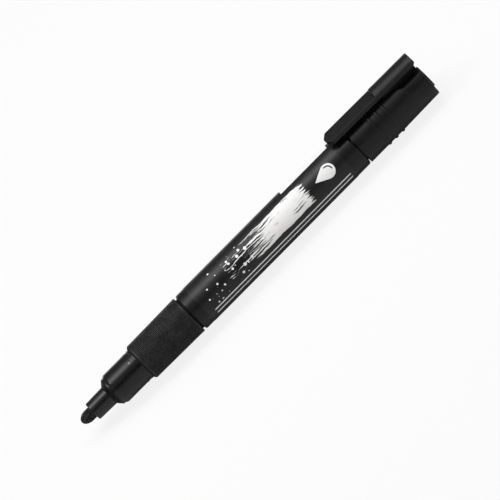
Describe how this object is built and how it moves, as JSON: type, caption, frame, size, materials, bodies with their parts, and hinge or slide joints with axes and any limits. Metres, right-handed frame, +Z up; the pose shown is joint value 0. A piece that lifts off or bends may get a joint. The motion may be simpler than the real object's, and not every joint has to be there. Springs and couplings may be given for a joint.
{
  "type": "paint marker",
  "caption": "Slim black valve-action paint marker with a bullet nib that presses in, a textured grip and a ribbed clip cap posted on its tail.",
  "frame": {"origin": "on the ground under the middle of the marker's length, as it lies on the cap's ribs with its clip up", "axes": "+X along the barrel from the nib to the posted cap, +Z up through the clip"},
  "size_m": [0.1458, 0.0142, 0.018],
  "materials": {
    "nib_felt": "pressed felt soaked with black paint",
    "nose_plastic": "smooth glossy black moulding",
    "grip_plastic": "matte black with a fine square grid texture",
    "barrel_lacquer": "drawn aluminium with gloss black lacquer",
    "label_film": null,
    "seal_rubber": "soft black rubber",
    "valve_plastic": "natural white moulding",
    "spring_steel": "drawn stainless wire",
    "ball_steel": "polished steel",
    "cap_plastic": "satin black moulding",
    "liner_plastic": "natural white moulding"
  },
  "bodies": {
    "barrel": {"barrel": "barrel_lacquer", "barrel_label": "label_film", "front_section": "nose_plastic", "grip_sleeve": "grip_plastic", "nib_holder": "nose_plastic", "valve_body": "valve_plastic", "valve_seat": "seal_rubber", "spring_cage": "valve_plastic", "valve_spring": "spring_steel", "barrel_seal": "seal_rubber"},
    "nib": {"nib": "nib_felt"},
    "valve": {"valve_stem": "valve_plastic"},
    "ball": {"mixing_ball": "ball_steel"},
    "cap": {"cap_shell": "cap_plastic", "inner_cap": "liner_plastic"}
  },
  "joints": [
    {"name": "cap_pull", "type": "slide", "parent": "barrel", "child": "cap", "axis": [1, 0, 0], "range_m": [0, 0.025]},
    {"name": "nib_press", "type": "slide", "parent": "barrel", "child": "nib", "axis": [1, 0, 0], "range_m": [0, 0.0015], "stiffness_N_per_m": 600, "springref_m": -0.0015},
    {"name": "valve_lift", "type": "slide", "parent": "barrel", "child": "valve", "axis": [1, 0, 0], "range_m": [0, 0.0015], "deforming": ["valve_spring"]},
    {"name": "ball_roll", "type": "slide", "parent": "barrel", "child": "ball", "axis": [1, 0, 0], "range_m": [-0.026, 0.026]}
  ],
  "couplings": [
    {"joint": "valve_lift", "follows": "nib_press", "ratio": 1}
  ]
}
